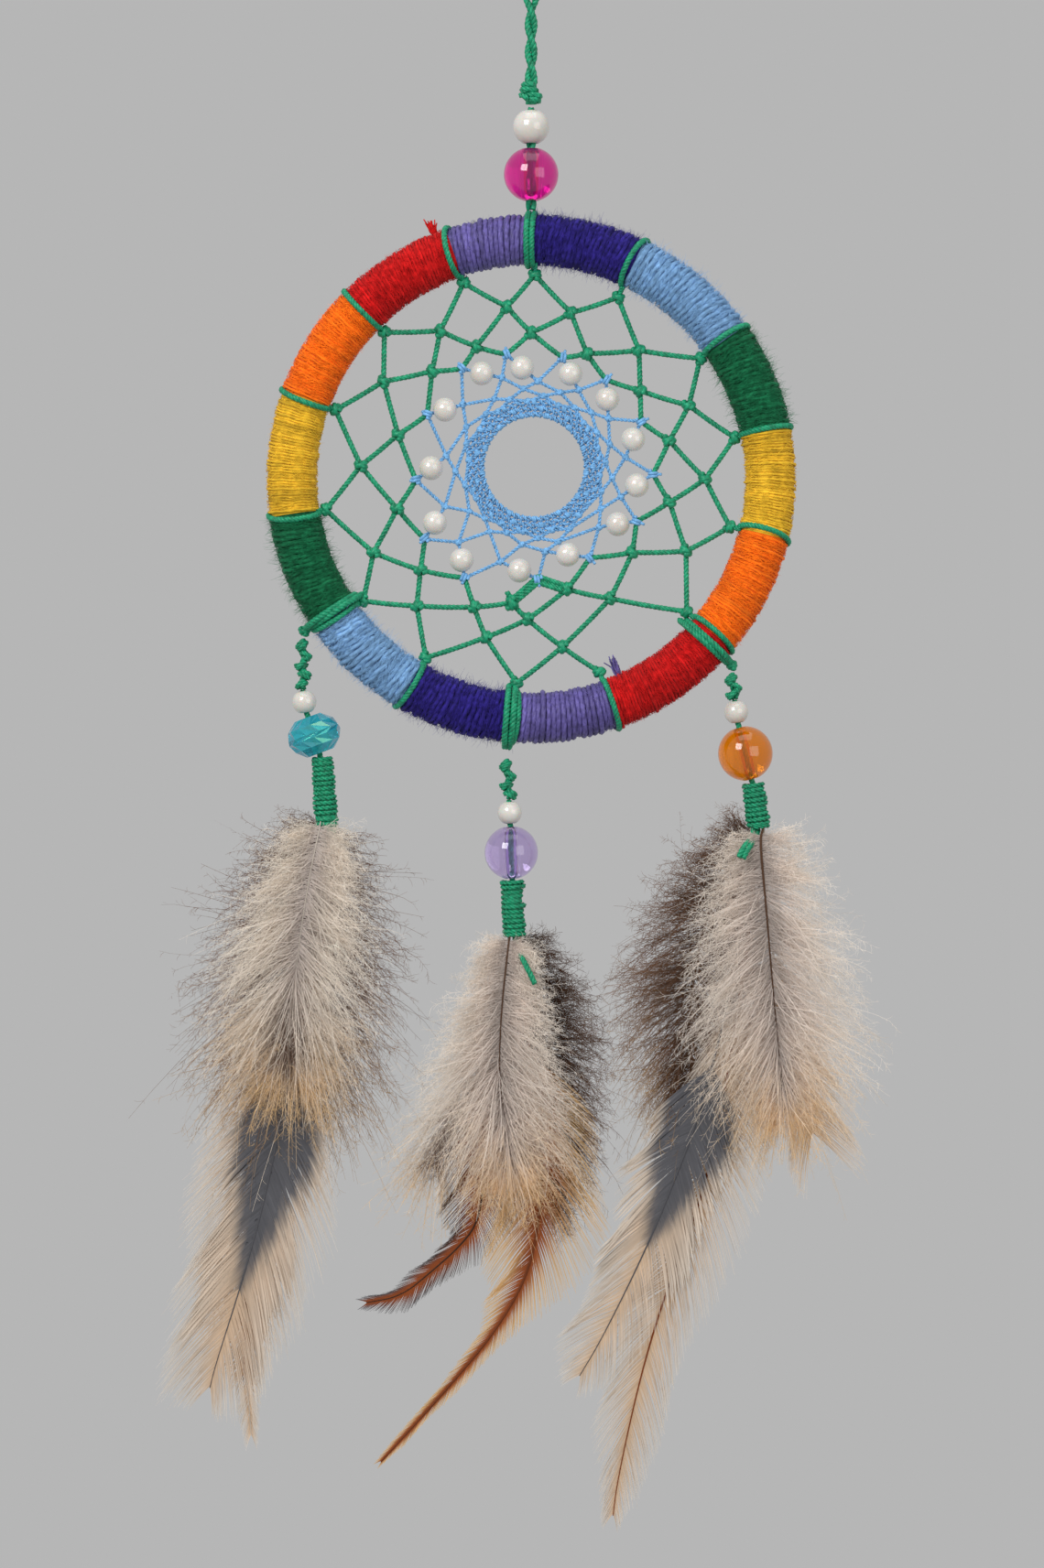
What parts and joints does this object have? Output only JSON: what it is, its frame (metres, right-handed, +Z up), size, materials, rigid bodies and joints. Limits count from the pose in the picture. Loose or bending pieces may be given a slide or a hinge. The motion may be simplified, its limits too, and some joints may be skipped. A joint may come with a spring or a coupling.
{
  "type": "dream catcher",
  "caption": "Hanging dream catcher: a yarn-wound hoop with a knotted cord web, hung on a looped cord, with bead and feather pendants.",
  "frame": {"origin": "where a nail bears on the inside of the hanging loop's top", "axes": "+Z up along the hanging cord, +X to the right in the hoop's plane, +Y to the back"},
  "size_m": [0.108, 0.0106, 0.2651],
  "materials": {
    "green_cord": "satin twisted cord",
    "blue_thread": "waxed thread",
    "ring": "plain, hidden under the yarn",
    "pearl": "pearl coating",
    "pink_bead": "clear, polished",
    "teal_bead": "cut, iridescent coating",
    "violet_bead": "clear, polished",
    "orange_bead": "clear, polished",
    "yarn_indigo": "woollen yarn",
    "yarn_light_blue": "woollen yarn",
    "yarn_green": "woollen yarn",
    "yarn_yellow": "woollen yarn",
    "yarn_orange": "felted yarn",
    "yarn_red": "felted yarn",
    "yarn_violet": "stranded floss",
    "cream_feather": "feather barbs",
    "brown_feather": "feather barbs",
    "rust_feather": "feather barbs",
    "peach_feather": "feather barbs"
  },
  "bodies": {
    "hanger": {"hanging_loop": "green_cord", "top_knot": "green_cord"},
    "top_cord": {"top_cord": "green_cord"},
    "top_pearl": {"top_pearl": "pearl"},
    "pink_bead": {"pink_bead": "pink_bead"},
    "top_hitch": {"top_hitch": "green_cord"},
    "hoop": {"hoop_core": "ring", "rim_hitches": "green_cord", "web_cord": "green_cord", "blue_web": "blue_thread", "web_pearls": "pearl", "wrap_indigo_top": "yarn_indigo", "wrap_light_blue_top": "yarn_light_blue", "wrap_green_right": "yarn_green", "wrap_yellow_right": "yarn_yellow", "wrap_orange_right": "yarn_orange", "wrap_red_bottom": "yarn_red", "wrap_violet_bottom": "yarn_violet", "wrap_indigo_bottom": "yarn_indigo", "wrap_light_blue_bottom": "yarn_light_blue", "wrap_green_left": "yarn_green", "wrap_yellow_left": "yarn_yellow", "wrap_orange_left": "yarn_orange", "wrap_red_top": "yarn_red", "wrap_violet_top": "yarn_violet"},
    "left_first_knot": {"left_first_knot": "green_cord"},
    "left_knots": {"left_knots": "green_cord"},
    "left_tuft": {"left_cord": "green_cord", "left_binding": "green_cord", "left_cream_down": "cream_feather", "left_brown_down": "brown_feather", "left_slate_feather": "cream_feather", "left_peach_feather": "peach_feather", "left_slim_feather": "cream_feather"},
    "left_pearl": {"left_pearl": "pearl"},
    "teal_bead": {"teal_bead": "teal_bead"},
    "middle_knots": {"middle_knots": "green_cord"},
    "middle_tuft": {"middle_cord": "green_cord", "middle_binding": "green_cord", "middle_cream_down": "cream_feather", "middle_brown_down": "brown_feather", "middle_wispy_feather": "cream_feather", "middle_long_rust_feather": "rust_feather", "middle_short_rust_feather": "rust_feather"},
    "middle_pearl": {"middle_pearl": "pearl"},
    "violet_bead": {"violet_bead": "violet_bead"},
    "right_first_knot": {"right_first_knot": "green_cord"},
    "right_knots": {"right_knots": "green_cord"},
    "right_tuft": {"right_cord": "green_cord", "right_binding": "green_cord", "right_brown_down": "brown_feather", "right_cream_down": "cream_feather", "right_slate_feather": "cream_feather", "right_long_feather": "cream_feather", "right_peach_feather": "peach_feather"},
    "right_pearl": {"right_pearl": "pearl"},
    "orange_bead": {"orange_bead": "orange_bead"}
  },
  "joints": [
    {"name": "hoop_turn", "type": "hinge", "parent": "hanger", "child": "top_cord", "pos_m": [0, 0, -0.0326], "axis": [0, 0, 1], "continuous": true},
    {"name": "hoop_rock", "type": "hinge", "parent": "top_cord", "child": "top_hitch", "pos_m": [0, 0, -0.0543], "axis": [0, 1, 0], "range_deg": [-12, 12]},
    {"name": "hoop_swing", "type": "hinge", "parent": "top_hitch", "child": "hoop", "pos_m": [0, 0, -0.0543], "axis": [1, 0, 0], "range_deg": [-25, 25]},
    {"name": "top_pearl_spin", "type": "hinge", "parent": "top_cord", "child": "top_pearl", "pos_m": [0, 0, -0.0358], "axis": [0, 0, 1], "continuous": true},
    {"name": "pink_bead_spin", "type": "hinge", "parent": "top_cord", "child": "pink_bead", "pos_m": [0, 0, -0.0436], "axis": [0, 0, 1], "continuous": true},
    {"name": "left_swing", "type": "hinge", "parent": "hoop", "child": "left_first_knot", "pos_m": [-0.0372, 0, -0.1184], "axis": [1, 0, 0], "range_deg": [-35, 35]},
    {"name": "left_sway", "type": "hinge", "parent": "left_first_knot", "child": "left_knots", "pos_m": [-0.0372, 0, -0.1184], "axis": [0, 1, 0], "range_deg": [0, 20]},
    {"name": "left_turn", "type": "hinge", "parent": "left_knots", "child": "left_tuft", "pos_m": [-0.0374, 0, -0.1282], "axis": [0, 0, 1], "range_deg": [-45, 45]},
    {"name": "left_pearl_spin", "type": "hinge", "parent": "left_tuft", "child": "left_pearl", "pos_m": [-0.03715, 0, -0.13005], "axis": [-0.1339, 0, 0.991], "continuous": true},
    {"name": "teal_bead_spin", "type": "hinge", "parent": "left_tuft", "child": "teal_bead", "pos_m": [-0.03555, 0, -0.1355], "axis": [-0.3511, 0, 0.9363], "continuous": true},
    {"name": "middle_swing", "type": "hinge", "parent": "hoop", "child": "middle_knots", "pos_m": [-0.004, 0, -0.1381], "axis": [1, 0, 0], "range_deg": [-35, 35]},
    {"name": "middle_turn", "type": "hinge", "parent": "middle_knots", "child": "middle_tuft", "pos_m": [-0.0036, 0, -0.1462], "axis": [0, 0, 1], "range_deg": [-45, 45]},
    {"name": "middle_pearl_spin", "type": "hinge", "parent": "middle_tuft", "child": "middle_pearl", "pos_m": [-0.0035, 0, -0.1482], "axis": [-0.0499, 0, 0.9988], "continuous": true},
    {"name": "violet_bead_spin", "type": "hinge", "parent": "middle_tuft", "child": "violet_bead", "pos_m": [-0.00325, 0, -0.15475], "axis": [-0.0329, 0, 0.9995], "continuous": true},
    {"name": "right_swing", "type": "hinge", "parent": "hoop", "child": "right_first_knot", "pos_m": [0.0328, 0, -0.124], "axis": [1, 0, 0], "range_deg": [-35, 35]},
    {"name": "right_sway", "type": "hinge", "parent": "right_first_knot", "child": "right_knots", "pos_m": [0.0328, 0, -0.124], "axis": [0, 1, 0], "range_deg": [-20, 0]},
    {"name": "right_turn", "type": "hinge", "parent": "right_knots", "child": "right_tuft", "pos_m": [0.0334, 0, -0.1298], "axis": [0, 0, 1], "range_deg": [-45, 45]},
    {"name": "right_pearl_spin", "type": "hinge", "parent": "right_tuft", "child": "right_pearl", "pos_m": [0.0336, 0, -0.1317], "axis": [-0.1047, 0, 0.9945], "continuous": true},
    {"name": "orange_bead_spin", "type": "hinge", "parent": "right_tuft", "child": "orange_bead", "pos_m": [0.0351, 0, -0.1385], "axis": [-0.2564, 0, 0.9666], "continuous": true}
  ]
}
